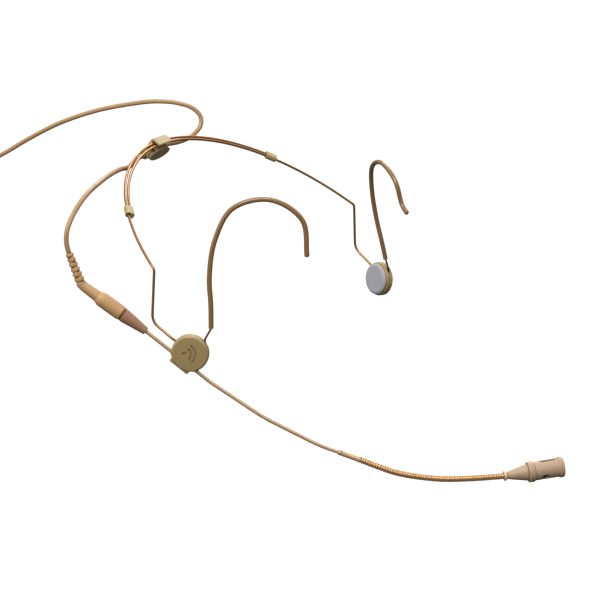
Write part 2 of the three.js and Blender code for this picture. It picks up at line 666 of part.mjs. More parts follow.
const buildJack = () => {
  const jack = axisGroup(STUB_ROUTE[2].clone().add(V(0, 0, -FACE_GAP)), V(0, 0, -1));
  const barrel = turned([[0, 11.2], [2.2, 11.2], [3.6, 12.6], [3.6, 28], [2.4, 28], [2.4, 34], [0, 34]]);
  const relief = turned([[0, 0], [1.5, 0], [1.5, 2], [2.1, 2.2], [2.1, 11], [0, 11]]);
  const sleeve = turned([[0, 34.15], [1.75, 34.15], [1.75, 40.5], [0, 40.5]]);
  const tip = turned([
    [0, 44.6], [1.7, 44.6], [1.7, 45.4], [1.35, 46], [1.35, 46.3], [1.72, 47], [1.72, 47.4], [0.9, 48.9], [0, 49.2],
  ], 16);
  jack.add(
    part('jack_strain_relief', relief, 'dark'),
    part('jack_barrel', barrel, 'steel'),
    part('jack_lock_ring', turnedRing(4.2, 2.7, 28.3, 35.8, 24), 'steel'),
    part('jack_sleeve_contact', sleeve, 'steel'),
    part('jack_ring_insulator', cylinder(1.68, 40.65, 41.3, 16), 'dark'),
    part('jack_ring_contact', cylinder(1.75, 41.45, 43.7, 16), 'steel'),
    part('jack_tip_insulator', cylinder(1.68, 43.85, 44.45, 16), 'dark'),
    part('jack_tip', tip, 'steel'),
  );
  headset.add(jack);
};

buildNeckband();
['right', 'left'].forEach(buildSide);
buildBoom();
buildMicrophone();
buildConnector();
buildCord();
buildJack();

export default headset;
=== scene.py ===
# Headset microphone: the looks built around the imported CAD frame. Lengths in the helpers are millimetres
# (MM turns them into metres); +X is the wearer's left, -Y is forward and +Z is up, as in the CAD.
import math

import bmesh
import bpy
from mathutils import Matrix, Vector


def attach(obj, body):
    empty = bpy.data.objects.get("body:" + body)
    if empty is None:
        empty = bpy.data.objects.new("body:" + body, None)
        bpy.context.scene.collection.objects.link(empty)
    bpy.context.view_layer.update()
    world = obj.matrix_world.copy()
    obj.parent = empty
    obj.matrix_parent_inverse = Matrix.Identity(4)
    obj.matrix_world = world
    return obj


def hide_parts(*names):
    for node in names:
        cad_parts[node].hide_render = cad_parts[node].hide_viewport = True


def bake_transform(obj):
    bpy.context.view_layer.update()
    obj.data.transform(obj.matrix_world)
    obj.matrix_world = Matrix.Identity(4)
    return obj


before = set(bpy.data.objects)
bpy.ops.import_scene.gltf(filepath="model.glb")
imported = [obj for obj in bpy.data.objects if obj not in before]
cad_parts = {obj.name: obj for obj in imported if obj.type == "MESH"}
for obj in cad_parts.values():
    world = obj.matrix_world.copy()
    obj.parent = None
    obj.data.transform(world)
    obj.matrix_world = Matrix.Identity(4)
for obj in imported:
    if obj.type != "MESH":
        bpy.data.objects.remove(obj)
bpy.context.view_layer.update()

MM = 0.001
TAU = 2 * math.pi
rad = math.radians


def V(x, y, z):
    return Vector((x, y, z))


# ---------------------------------------------------------------- camera

CAMERA_BACK = V(-0.8499, -0.4789, 0.2198)
CAMERA_DISTANCE = 0.913
LENS, SENSOR = 145.05, 36.0
SHIFT = (0.0186, 0.0207)


def add_camera():
    data = bpy.data.cameras.new("camera")
    data.lens = LENS
    data.sensor_width = SENSOR
    data.shift_x, data.shift_y = SHIFT
    data.clip_start = 0.01
    camera = bpy.data.objects.new("camera", data)
    bpy.context.scene.collection.objects.link(camera)
    back = CAMERA_BACK.normalized()
    right = V(0, 0, 1).cross(back).normalized()
    up = back.cross(right)
    turn = Matrix((right, up, back)).transposed().to_4x4()
    camera.matrix_world = Matrix.Translation(back * CAMERA_DISTANCE) @ turn
    bpy.context.scene.camera = camera


add_camera()

# ---------------------------------------------------------------- mesh helpers


def link(name, mesh):
    obj = bpy.data.objects.new(name, mesh)
    bpy.context.scene.collection.objects.link(obj)
    return obj


def shade(obj, angle=32):
    """Smooth shading with the edges sharper than angle left hard."""
    bm = bmesh.new()
    bm.from_mesh(obj.data)
    bmesh.ops.recalc_face_normals(bm, faces=bm.faces)
    for face in bm.faces:
        face.smooth = True
    for edge in bm.edges:
        edge.smooth = len(edge.link_faces) == 2 and edge.calc_face_angle(0) < rad(angle)
    bm.to_mesh(obj.data)
    bm.free()
    return obj


def make(name, vertices, faces, angle=32):
    mesh = bpy.data.meshes.new(name)
    mesh.from_pydata([v * MM for v in vertices], [], faces)
    return shade(link(name, mesh), angle)


class Path:
    """A line through points with a frame that turns as little as it can along it."""

    def __init__(self, points, normal=None):
        self.points = [Vector(p) for p in points]
        self.at = [0.0]
        for a, b in zip(self.points, self.points[1:]):
            self.at.append(self.at[-1] + (b - a).length)
        self.length = self.at[-1]
        last = len(self.points) - 1
        self.tangents = []
        for i in range(last + 1):
            before, after = self.points[max(i - 1, 0)], self.points[min(i + 1, last)]
            self.tangents.append((after - before).normalized())
        first = self.tangents[0]
        side = normal or first.orthogonal()
        side = (side - first * side.dot(first)).normalized()
        self.normals = [side]
        for a, b in zip(self.tangents, self.tangents[1:]):
            side = a.rotation_difference(b) @ side
            side = (side - b * side.dot(b)).normalized()
            self.normals.append(side)

    def frame(self, s):
        inside = min(max(s, 0.0), self.length)
        low, high = 0, len(self.at) - 2
        while low < high:
            middle = (low + high + 1) // 2
            if self.at[middle] <= inside:
                low = middle
            else:
                high = middle - 1
        span = self.at[low + 1] - self.at[low]
        f = (inside - self.at[low]) / span if span else 0
        centre = self.points[low].lerp(self.points[low + 1], f)
        tangent = self.tangents[low].lerp(self.tangents[low + 1], f).normalized()
        normal = self.normals[low].lerp(self.normals[low + 1], f)
        normal = (normal - tangent * normal.dot(tangent)).normalized()
        centre = centre + tangent * (s - inside)
        return centre, normal, tangent.cross(normal)

    def point(self, s):
        return self.frame(s)[0]


def straight(origin, direction, normal=None):
    direction = direction.normalized()
    return Path([origin, origin + direction * 100], normal)


def sweep(name, path, profile, sides=24, ripple=None, angle=32):
    """Turns (distance along the path, radius) pairs round the path; a radius of 0 closes an end."""
    closed = tuple(profile[0]) == tuple(profile[-1])
    if closed:
        profile = profile[:-1]
    vertices, rings = [], []
    for s, radius in profile:
        centre, normal, binormal = path.frame(s)
        if radius <= 0:
            rings.append([len(vertices)])
            vertices.append(centre)
            continue
        ring = []
        for k in range(sides):
            turn = TAU * k / sides
            r = radius + (ripple(s, turn) if ripple else 0)
            ring.append(len(vertices))
            vertices.append(centre + normal * (r * math.cos(turn)) + binormal * (r * math.sin(turn)))
        rings.append(ring)
    faces = []
    pairs = list(zip(rings, rings[1:])) + ([(rings[-1], rings[0])] if closed else [])
    for a, b in pairs:
        for k in range(sides):
            n = (k + 1) % sides
            if len(a) == 1 and len(b) == 1:
                break
            if len(a) == 1:
                faces.append((a[0], b[k], b[n]))
            elif len(b) == 1:
                faces.append((a[k], b[0], a[n]))
            else:
                faces.append((a[k], b[k], b[n], a[n]))
    return make(name, vertices, faces, angle)


def soft(profile, radius, steps=3):
    """Rounds the corners of a (distance, radius) outline."""
    points = [Vector(p) for p in profile]
    closed = (points[0] - points[-1]).length < 1e-9
    if closed:
        points = points[:-1]
    count = len(points)
    out = []
    for i, corner in enumerate(points):
        if not closed and i in (0, count - 1):
            out.append(tuple(corner))
            continue
        before, after = points[i - 1], points[(i + 1) % count]
        arriving, leaving = corner - before, after - corner
        cut = min(radius, arriving.length * 0.45, leaving.length * 0.45)
        start = corner - arriving.normalized() * cut
        end = corner + leaving.normalized() * cut
        for k in range(steps + 1):
            t = k / steps
            out.append(tuple(start.lerp(corner, t).lerp(corner.lerp(end, t), t)))
    if closed:
        out.append(out[0])
    return out


def along(start, end, step):
    count = max(1, math.ceil((end - start) / step))
    return [start + (end - start) * k / count for k in range(count + 1)]


def catmull(points, step):
    """Centripetal Catmull-Rom points about a step apart, as the CAD's smooth routes."""
    P = [Vector(p) for p in points]
    P = [P[0] * 2 - P[1]] + P + [P[-1] * 2 - P[-2]]
    dense = []
    for i in range(1, len(P) - 2):
        p0, p1, p2, p3 = P[i - 1:i + 3]
        d0, d1, d2 = [max((b - a).length ** 0.5, 1e-4) for a, b in ((p0, p1), (p1, p2), (p2, p3))]
        t1 = ((p1 - p0) / d0 - (p2 - p0) / (d0 + d1) + (p2 - p1) / d1) * d1
        t2 = ((p2 - p1) / d1 - (p3 - p1) / (d1 + d2) + (p3 - p2) / d2) * d1
        for k in range(24):
            s = k / 24
            a, b = 2 * s ** 3 - 3 * s ** 2 + 1, s ** 3 - 2 * s ** 2 + s
            c, d = 3 * s ** 2 - 2 * s ** 3, s ** 3 - s ** 2
            dense.append(p1 * a + t1 * b + p2 * c + t2 * d)
    dense.append(P[-2])
    path = Path(dense)
    return [path.point(s) for s in along(0, path.length, step)]


def bent(corners, radii, step=rad(7)):
    """Straight runs with each inner corner rounded to its own radius."""
    points = [corners[0]]
    for i in range(1, len(corners) - 1):
        corner, radius = corners[i], radii[i - 1]
        arriving = (corner - corners[i - 1]).normalized()
        leaving = (corners[i + 1] - corner).normalized()
        turn = arriving.angle(leaving)
        start = corner - arriving * (radius * math.tan(turn / 2))
        inward = (leaving - arriving * leaving.dot(arriving)).normalized()
        centre = start + inward * radius
        for t in along(0, turn, step):
            points.append(centre - inward * (radius * math.cos(t)) + arriving * (radius * math.sin(t)))
    points.append(corners[-1])
    return points


def prism(name, outline, depth, place):
    """A prism whose outline lies in the local XY plane and runs from z = 0 to depth, placed by a matrix."""
    count = len(outline)
    vertices = [place @ V(x, y, z) for z in (0, depth) for x, y in outline]
    faces = [tuple(reversed(range(count))), tuple(range(count, 2 * count))]
    faces += [(k, (k + 1) % count, count + (k + 1) % count, count + k) for k in range(count)]
    return make(name, vertices, faces)


def stadium(length, width, steps=10):
    half = (length - width) / 2
    points = []
    for side in (1, -1):
        for k in range(steps + 1):
            turn = -math.pi / 2 + math.pi * k / steps
            points.append((side * (half + width / 2 * math.cos(turn)), side * width / 2 * math.sin(turn)))
    return points


def carve(obj, *tools, operation="DIFFERENCE"):
    """Applies booleans with the tools and deletes them."""
    for tool in tools:
        modifier = obj.modifiers.new("carve", "BOOLEAN")
        modifier.operation = operation
        modifier.solver = "EXACT"
        modifier.object = tool
    bpy.context.view_layer.update()
    evaluated = obj.evaluated_get(bpy.context.evaluated_depsgraph_get())
    mesh = bpy.data.meshes.new_from_object(evaluated)
    obj.modifiers.clear()
    obj.data = mesh
    for tool in tools:
        bpy.data.objects.remove(tool)
    return obj


def bevelled(obj, width, segments=3, angle=35):
    """Rounds an object's hard edges and applies the result."""
    modifier = obj.modifiers.new("bevel", "BEVEL")
    modifier.width = width * MM
    modifier.segments = segments
    modifier.limit_method = "ANGLE"
    modifier.angle_limit = rad(angle)
    modifier.use_clamp_overlap = True
    bpy.context.view_layer.update()
    mesh = bpy.data.meshes.new_from_object(obj.evaluated_get(bpy.context.evaluated_depsgraph_get()))
    obj.modifiers.clear()
    obj.data = mesh
    return shade(obj, 40)


# ---------------------------------------------------------------- materials


def graph(name):
    material = bpy.data.materials.new(name)
    material.use_nodes = True
    nodes, links = material.node_tree.nodes, material.node_tree.links
    return material, nodes, links, nodes["Principled BSDF"]


def noise(nodes, links, scale, detail=3, stretch=None):
    """A noise texture in object space whose features are about 1 / scale metres."""
    coordinates = nodes.new("ShaderNodeTexCoord")
    texture = nodes.new("ShaderNodeTexNoise")
    texture.inputs["Scale"].default_value = scale
    texture.inputs["Detail"].default_value = detail
    source = coordinates.outputs["Object"]
    if stretch:
        mapping = nodes.new("ShaderNodeMapping")
        mapping.inputs["Scale"].default_value = stretch
        links.new(source, mapping.inputs["Vector"])
        source = mapping.outputs["Vector"]
    links.new(source, texture.inputs["Vector"])
    return texture.outputs["Fac"]


def ramp(nodes, links, source, stops):
    node = nodes.new("ShaderNodeValToRGB")
    elements = node.color_ramp.elements
    while len(elements) < len(stops):
        elements.new(0.5)
    for element, (position, colour) in zip(elements, stops):
        element.position = position
        element.color = (*colour, 1)
    links.new(source, node.inputs["Fac"])
    return node.outputs["Color"]


def linear(colour):
    return tuple((c / 255 / 12.92) if c < 11 else ((c / 255 + 0.055) / 1.055) ** 2.4 for c in colour)


def surface(name, colour, spread=0.1, blotch=260, roughness=0.5, rough_spread=0.08, grain=7000, bump=0.25,
            depth=0.00002, metallic=0.0, specular=0.5, coat=0.0, coat_roughness=0.2, sheen=0.0,
            subsurface=0.0, anisotropic=0.0):
    """A moulded, coated or drawn surface: slow colour variation, a fine grain in bump and in roughness."""
    material, nodes, links, shader = graph(name)
    base = linear(colour)
    dark = tuple(c * (1 - spread) for c in base)
    light = tuple(min(1, c * (1 + spread)) for c in base)
    links.new(ramp(nodes, links, noise(nodes, links, blotch), [(0.3, dark), (0.7, light)]),
              shader.inputs["Base Color"])
    fine = noise(nodes, links, grain, 2)
    span = nodes.new("ShaderNodeMapRange")
    span.inputs["To Min"].default_value = roughness - rough_spread
    span.inputs["To Max"].default_value = roughness + rough_spread
    links.new(fine, span.inputs["Value"])
    links.new(span.outputs["Result"], shader.inputs["Roughness"])
    relief = nodes.new("ShaderNodeBump")
    relief.inputs["Strength"].default_value = bump
    relief.inputs["Distance"].default_value = depth
    links.new(fine, relief.inputs["Height"])
    links.new(relief.outputs["Normal"], shader.inputs["Normal"])
    shader.inputs["Metallic"].default_value = metallic
    shader.inputs["Specular IOR Level"].default_value = specular
    shader.inputs["Coat Weight"].default_value = coat
    shader.inputs["Coat Roughness"].default_value = coat_roughness
    shader.inputs["Sheen Weight"].default_value = sheen
    shader.inputs["Anisotropic"].default_value = anisotropic
    if subsurface:
        shader.inputs["Subsurface Weight"].default_value = subsurface
        shader.inputs["Subsurface Scale"].default_value = 0.002
    return material


MATERIALS = {
    "wire": surface("copper_gold_wire", (178, 126, 78), 0.05, 200, 0.34, 0.02, 2000, 0.01, 0.000003,
                    metallic=0.85),
    "hook_wire": surface("hook_wire", (150, 92, 48), 0.05, 200, 0.34, 0.02, 2000, 0.01, 0.000003,
                         metallic=0.85),
    "sleeve": surface("tan_tubing", (148, 110, 64), 0.06, 180, 0.28, 0.03, 4000, 0.05, 0.000005, coat=0.5,
                      coat_roughness=0.12),
    "cord": surface("cord_jacket", (186, 146, 98), 0.06, 150, 0.42, 0.04, 6000, 0.12, 0.00001, coat=0.15),
    "tube": surface("boom_enamel", (222, 186, 144), 0.05, 300, 0.26, 0.03, 3000, 0.02, 0.000005,
                    metallic=0.5),
    "gooseneck": surface("gooseneck_enamel", (214, 168, 118), 0.06, 400, 0.26, 0.03, 3000, 0.02, 0.000005,
                         metallic=0.7),
    "disc": surface("disc_plastic", (168, 144, 96), 0.05, 220, 0.45, 0.05, 4200, 0.3, 0.00002),
    # A lighter copy of disc_plastic for the cap's rounded edge and wall: a painted highlight, not a second
    # paint.
    "disc_lit_rim": surface("disc_lit_rim_plastic", (176, 152, 106), 0.05, 220, 0.42, 0.05, 4200, 0.3, 0.00002),
    "slider": surface("slider_plastic", (188, 164, 112), 0.05, 400, 0.36, 0.05, 6000, 0.2, 0.00001),
    "clip": surface("clip_plastic", (176, 150, 104), 0.06, 400, 0.42, 0.05, 6000, 0.2, 0.00001),
    "pad": surface("pad_rubber", (176, 176, 182), 0.04, 180, 0.6, 0.07, 5000, 0.3, 0.00003, sheen=0.15),
    "boot": surface("boot_plastic", (168, 124, 94), 0.06, 260, 0.5, 0.05, 5200, 0.3, 0.00002),
    "connector": surface("connector_plastic", (200, 158, 108), 0.05, 260, 0.44, 0.05, 5200, 0.3, 0.00002),
    "seam": surface("seam_rubber", (128, 72, 30), 0.1, 500, 0.6, 0.06, 7000, 0.3, 0.00001),
    "collar": surface("collar_enamel", (232, 208, 176), 0.04, 500, 0.3, 0.04, 6000, 0.1, 0.00001,
                      metallic=0.2),
    "mic": surface("mic_plastic", (186, 156, 126), 0.05, 300, 0.45, 0.05, 5200, 0.3, 0.00002),
    "dark": surface("dark_plastic", (48, 42, 38), 0.2, 500, 0.55, 0.08, 7000, 0.3, 0.00002),
    "brass": surface("turned_brass", (206, 166, 92), 0.08, 500, 0.3, 0.06, 6000, 0.05, 0.00001, metallic=1.0),
    "can": surface("capsule_can", (120, 112, 104), 0.1, 500, 0.4, 0.08, 6000, 0.05, 0.00001, metallic=1.0),
    "jack": surface("nickel_plate", (206, 206, 208), 0.05, 400, 0.2, 0.05, 6000, 0.05, 0.00001, metallic=1.0),
}


def woven(name, colour, pitch):
    """A strap of fine loops: two crossed waves raise the threads, and the colour follows them, lighter on the
    raised threads and darker in the hollows as painted highlight and painted shade.
    """
    material, nodes, links, shader = graph(name)
    coordinates = nodes.new("ShaderNodeTexCoord")
    heights = []
    for direction in ("X", "Z"):
        wave = nodes.new("ShaderNodeTexWave")
        wave.bands_direction = direction
        wave.inputs["Scale"].default_value = 1 / (20 * pitch * MM) * math.pi
        wave.inputs["Distortion"].default_value = 1.5
        links.new(coordinates.outputs["Object"], wave.inputs["Vector"])
        heights.append(wave.outputs["Fac"])
    weave = nodes.new("ShaderNodeMath")
    weave.operation = "MULTIPLY"
    links.new(heights[0], weave.inputs[0])
    links.new(heights[1], weave.inputs[1])
    base = linear(colour)
    # The raised threads are painted up to 2.2 times lighter and the hollows darker: painted highlight and
    # painted shade.
    light = tuple(c * 2.2 + 0.01 for c in base)
    links.new(ramp(nodes, links, weave.outputs[0], [(0.1, base), (0.8, light)]), shader.inputs["Base Color"])
    relief = nodes.new("ShaderNodeBump")
    relief.inputs["Strength"].default_value = 0.6
    relief.inputs["Distance"].default_value = 0.0001
    links.new(weave.outputs[0], relief.inputs["Height"])
    links.new(relief.outputs["Normal"], shader.inputs["Normal"])
    shader.inputs["Roughness"].default_value = 0.85
    shader.inputs["Sheen Weight"].default_value = 0.4
    return material


def meshwork(name, colour, pitch):
    """A fine pierced metal sheet: round holes in a close grid, not cut but painted dark as painted shade."""
    material, nodes, links, shader = graph(name)
    coordinates = nodes.new("ShaderNodeTexCoord")
    cells = nodes.new("ShaderNodeTexVoronoi")
    cells.inputs["Scale"].default_value = 1 / (pitch * MM)
    cells.inputs["Randomness"].default_value = 0.15
    links.new(coordinates.outputs["Object"], cells.inputs["Vector"])
    base = linear(colour)
    # The holes are not cut; their dark colour is painted shade.
    hole_shade = tuple(c * 0.08 for c in base)
    links.new(ramp(nodes, links, cells.outputs["Distance"], [(0.34, hole_shade), (0.42, base)]),
              shader.inputs["Base Color"])
    relief = nodes.new("ShaderNodeBump")
    relief.inputs["Strength"].default_value = 0.7
    relief.inputs["Distance"].default_value = 0.00008
    links.new(cells.outputs["Distance"], relief.inputs["Height"])
    links.new(relief.outputs["Normal"], shader.inputs["Normal"])
    shader.inputs["Metallic"].default_value = 0.6
    shader.inputs["Roughness"].default_value = 0.45
    return material


MATERIALS["strap"] = woven("tie_strap_weave", (34, 32, 31), 0.35)
MATERIALS["mesh"] = meshwork("mic_front_mesh", (150, 128, 104), 0.32)


def paint(obj, look):
    obj.data.materials.clear()
    obj.data.materials.append(MATERIALS[look])
    return obj


def finish_piece(obj, look, slot, body, *nodes):
    paint(obj, look)
    if nodes:
        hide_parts(*nodes)
    if body:
        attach(obj, body)
    return obj


# ---------------------------------------------------------------- shared dimensions (as in part.mjs)

BAND_RADIUS, BAND_PITCH = 79, rad(38)
BAND_BACK = (53.5, 61.5)
BAND_CENTRE = V(0, BAND_BACK[0] - BAND_RADIUS * math.cos(BAND_PITCH),
                BAND_BACK[1] - BAND_RADIUS * math.sin(BAND_PITCH))
BAND_END = rad(70.5)
WIRE, WIRE_SHOWN, WIRE_SPACING = 0.42, 0.5, 1.4
SLIDER = {"right": rad(-48.5), "left": rad(41.5)}
KNEE, ELBOW = V(-75, 12, 28.6), V(-76.4, 12.2, 10.3)
SPLIT = 2.7
SIGN = {"right": -1, "left": 1}


def side_frame(side):
    sign, toe, lean = SIGN[side], rad(23), rad(4)
    outward = V(sign * math.cos(toe) * math.cos(lean), -math.sin(toe) * math.cos(lean), -math.sin(lean))
    forward = V(-sign * math.sin(toe), -math.cos(toe), 0)
    up = outward.cross(forward) * -sign
    turn = Matrix((outward, forward, up)).transposed().to_4x4()
    return Matrix.Translation(V(sign * 70, 0, 0)) @ turn


SIDES = {side: side_frame(side) for side in SIGN}


def on_side(side, x, y, z):
    return SIDES[side] @ V(x, y, z)


def side_direction(side, x, y, z):
    return SIDES[side].to_3x3() @ V(x, y, z)


def outward_path(side):
    return straight(on_side(side, 0, 0, 0), side_direction(side, 1, 0, 0), side_direction(side, 0, 1, 0))


# ---------------------------------------------------------------- cord, coil and plug

CORD = 0.0018
LEAD_ROUTE = [
    (-0.09129, 0.03691, 0.03532), (-0.0917, 0.0375, 0.0386), (-0.0914, 0.0375, 0.0426),
    (-0.0883, 0.0373, 0.0474), (-0.079, 0.0382, 0.053), (-0.062, 0.0416, 0.0564), (-0.042, 0.048, 0.0566),
    (-0.026, 0.054, 0.055),
    (-0.01435, 0.05798, 0.05613), (-0.01039, 0.05781, 0.0567), (-0.00461, 0.05757, 0.05754),
]
TAIL_ROUTE = [
    (-0.00431, 0.05755, 0.05759), (0.00147, 0.05731, 0.05843), (0.00543, 0.05714, 0.059),
    (0.0125, 0.0568, 0.0589), (0.019, 0.0565, 0.0594), (0.024, 0.056, 0.0609), (0.0273, 0.0552, 0.0636),
    (0.0282, 0.0556, 0.067),
    (0.0269, 0.0582, 0.0703), (0.0245, 0.0634, 0.0723), (0.0218, 0.072, 0.0728), (0.020, 0.0832, 0.0712),
    (0.0175, 0.0982, 0.0677), (0.015, 0.1134, 0.0622), (0.013, 0.1268, 0.0554), (0.011, 0.1395, 0.048),
    (0.0087, 0.1505, 0.0426), (0.0072, 0.161, 0.0408),
]
STUB_ROUTE = [(0.0128, 0.1778, 0.024), (0.0128, 0.1783, 0.019), (0.0128, 0.1785, 0.015)]
COIL_CENTRE = V(10, 161, 24)
COIL_STEP = 1.9
COIL_LAYERS, COIL_COLUMNS = 5, 4
COIL_MEAN = 10.8


def millimetres(route):
    return [Vector(p) / MM for p in route]


def coil_points():
    """Turns of the tied coil: each column is a flat spiral, and the columns lie side by side."""
    outer = COIL_MEAN + COIL_STEP * (COIL_LAYERS - 1) / 2
    inner = COIL_MEAN - COIL_STEP * (COIL_LAYERS - 1) / 2
    entry = millimetres(TAIL_ROUTE)[-1].z - COIL_CENTRE.z
    states = [(entry, 0.0), (outer, 0.0)]
    turns = [0.6]
    for column in range(COIL_COLUMNS):
        inward = column % 2 == 0
        states.append((inner if inward else outer, float(column)))
        turns.append(COIL_LAYERS - 1)
        if column < COIL_COLUMNS - 1:
            states.append((states[-1][0], column + 1.0))
            turns.append(0.3)
    leaving = millimetres(STUB_ROUTE)[0].y - COIL_CENTRE.y
    states.append((leaving, COIL_COLUMNS - 1.0))
    total = sum(turns)
    whole = math.floor(total + 0.9)
    turns.append(whole + 0.25 - total)
    points, done = [], 0.0
    per_turn = 32
    for (r0, c0), (r1, c1), span in zip(states, states[1:], turns):
        for k in range(max(1, round(span * per_turn))):
            f = k / max(1, round(span * per_turn))
            turn = math.pi / 2 - TAU * (done + span * f)
            ease = f * f * (3 - 2 * f) if span < 1 else f
            r, column = r0 + (r1 - r0) * ease, c0 + (c1 - c0) * ease
            x = COIL_CENTRE.x + (column - (COIL_COLUMNS - 1) / 2) * COIL_STEP
            points.append(V(x, COIL_CENTRE.y + r * math.cos(turn), COIL_CENTRE.z + r * math.sin(turn)))
        done += span
    return points


def cord_tube(name, points, radius=CORD / 2 / MM, step=1.2, cap=0.25):
    path = Path(points)
    profile = [(0, 0), (0, radius - cap), (cap * 0.3, radius - cap * 0.3)]
    profile += [(s, radius) for s in along(cap, path.length - cap, step)]
    profile += [(path.length - cap * 0.3, radius - cap * 0.3), (path.length, radius - cap), (path.length, 0)]
    obj = sweep(name, path, profile, 16)
    return obj, [tuple(path.point(s) * MM) for s in along(0, path.length, step)], path


def add_cords():
    lead = Path(catmull(millimetres(LEAD_ROUTE), 0.8))
    cuts = [0, 32.5, 66.5, lead.length]
    joins = [("boom", "boom_clamp"), ("boom_clamp", "right_half"), ("right_half", "cable_clip")]
    for index, (body_a, body_b) in enumerate(joins):
        points = [lead.point(s) for s in along(cuts[index], cuts[index + 1], 0.8)]
        obj, path, _ = cord_tube(f"cord_lead_{index + 1}", points, cap=0.0001)
        paint(obj, "cord")
        if index == 0:
            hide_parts("cord_lead")
        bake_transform(obj)
    tail = catmull(millimetres(TAIL_ROUTE), 1.0)
    stub = catmull(millimetres(STUB_ROUTE), 1.0)
    points = tail[:-1] + coil_points() + stub
    obj, path, line = cord_tube("cord_tail_and_coil", points)
    finish_piece(obj, "cord", "cord_jacket", "cable_clip", "cord_tail", "cord_coil", "cord_stub")
    return obj, path, line.length * MM


def ring_strap(name, place, width, height, corner, length, thickness):
    """A strap round a rounded rectangle, with a flap whose end lies over its start."""
    loop = []
    for cx, cy, first in ((1, 1, 0), (-1, 1, 1), (-1, -1, 2), (1, -1, 3)):
        for k in range(7):
            turn = (first + k / 6) * math.pi / 2
            loop.append(V(cx * (width / 2 - corner) + corner * math.cos(turn),
                          cy * (height / 2 - corner) + corner * math.sin(turn), 0))
    loop.append(loop[0].copy())
    path = Path(loop)
    stations = along(0, path.length, 0.5)
    lap = 5.5
    stations += along(path.length, path.length + lap, 0.5)[1:]
    section = [(-1, 0.12), (-0.92, 0), (0.92, 0), (1, 0.12),
               (1, thickness - 0.15), (0.92, thickness), (-0.92, thickness), (-1, thickness - 0.15)]
    vertices, faces = [], []
    for s in stations:
        centre = path.point(s % path.length)
        ahead = path.point((s + 0.05) % path.length)
        tangent = (ahead - centre).normalized()
        outward = V(tangent.y, -tangent.x, 0)
        over = (thickness + 0.05) * min(1, max(0, (s - path.length + 1.5) / 1.5))
        taper = 1 if s < path.length + lap - 1 else 0.86
        for across, out in section:
            p = centre + outward * (out + over) + V(0, 0, across * taper * length / 2)
            vertices.append(place @ p)
    ring = len(section)
    for i in range(len(stations) - 1):
        for k in range(ring):
            n = (k + 1) % ring
            faces.append((i * ring + k, (i + 1) * ring + k, (i + 1) * ring + n, i * ring + n))
    last = (len(stations) - 1) * ring
    faces += [tuple(range(ring)), tuple(reversed(range(last, last + ring)))]
    return make(name, vertices, faces)


def add_jack(cord, path, length):
    origin = Vector(STUB_ROUTE[-1]) / MM + V(0, 0, -0.3)
    axis = straight(origin, V(0, 0, -1))
    relief = [(0, 0.92), (0, 1.4), (0.2, 1.5), (2, 1.5), (2.2, 2.05)]
    for rib in range(5):
        s = 2.6 + rib * 1.6
        relief += [(s, 2.1), (s + 0.15, 1.75), (s + 0.75, 1.75), (s + 0.9, 2.1)]
    relief += [(11, 2.1), (11, 0)]
    body = [(11.2, 0), (11.2, 2.2), (12.6, 3.6), (20, 3.6), (20.4, 3.4), (20.9, 3.4), (21.3, 3.6), (28, 3.6),
            (28, 2.4), (34, 2.4), (34, 0)]
    sleeve = [(34.15, 0), (34.15, 1.75), (40.5, 1.75), (40.5, 0)]
    band = [(41.45, 0), (41.45, 1.75), (43.7, 1.75), (43.7, 0)]
    point = [(44.6, 0), (44.6, 1.7), (45.4, 1.7), (46, 1.35), (46.3, 1.35), (47, 1.72), (47.4, 1.72),
             (48.9, 0.9), (49.2, 0)]
    parts = [
        ("jack_relief", [(0, 0)] + relief, 32, "dark", "dark_plastic", "jack_strain_relief"),
        ("jack_body", soft(body, 0.25), 48, "jack", "jack_metal", "jack_barrel"),
        ("jack_sleeve_ring", soft(sleeve, 0.12), 32, "jack", "jack_metal", "jack_sleeve_contact"),
        ("jack_ring_band", soft(band, 0.12), 32, "jack", "jack_metal", "jack_ring_contact"),
        ("jack_point", soft(point, 0.2), 32, "jack", "jack_metal", "jack_tip"),
    ]
    for name, profile, sides, look, slot, node in parts:
        obj = sweep(name, axis, profile, sides)
        finish_piece(obj, look, slot, "cable_clip", node)

    def knurl(s, turn):
        if not 29.6 < s < 34.6:
            return 0
        twist = (s - 32) * 1.6
        return -0.16 * abs(math.sin(turn * 16 + twist)) - 0.1 * abs(math.sin(turn * 16 - twist))

    outline = [(28.3, 2.7), (28.3, 3.95), (28.55, 4.2), (29.4, 4.2)]
    outline += [(s, 4.2) for s in along(29.7, 34.5, 0.3)]
    outline += [(34.8, 4.2), (35.55, 4.2), (35.8, 3.95), (35.8, 2.7), (28.3, 2.7)]
    ring = sweep("jack_knurled_ring", axis, outline, 128, knurl, 60)
    finish_piece(ring, "jack", "jack_metal", "jack_ring", "jack_lock_ring")
    place = Matrix.Translation(COIL_CENTRE) @ Matrix.Rotation(rad(35), 4, "X")
    place = place @ Matrix.Translation(V(0, -COIL_MEAN, 0))
    wide, deep = COIL_COLUMNS * COIL_STEP + 0.5, COIL_LAYERS * COIL_STEP + 0.4
    tie = ring_strap("coil_tie_strap", place, wide, deep, 1.6, 3, 0.8)
    finish_piece(tie, "strap", "tie_strap", "cable_clip", "coil_tie")


add_jack(*add_cords())

# ---------------------------------------------------------------- neckband


def on_band(angle, radius):
    across = V(0, math.cos(BAND_PITCH), math.sin(BAND_PITCH))
    return BAND_CENTRE + V(1, 0, 0) * (radius * math.sin(angle)) + across * (radius * math.cos(angle))


def wire_ends(start, end, radius, nose=0.15):
    profile = [(start, 0), (start, radius - nose), (start + nose, radius)]
    profile += [(s, radius) for s in along(start + nose, end - nose, 0.9)]
    return profile + [(end, radius - nose), (end, 0)]


def anchor(side):
    """The last corners of a band wire, inside its disc."""
    return [on_side(side, SPLIT, *p) for p in ((-6.4, 5.1), (-2.2, 2.1), (-0.6, 3.6))]


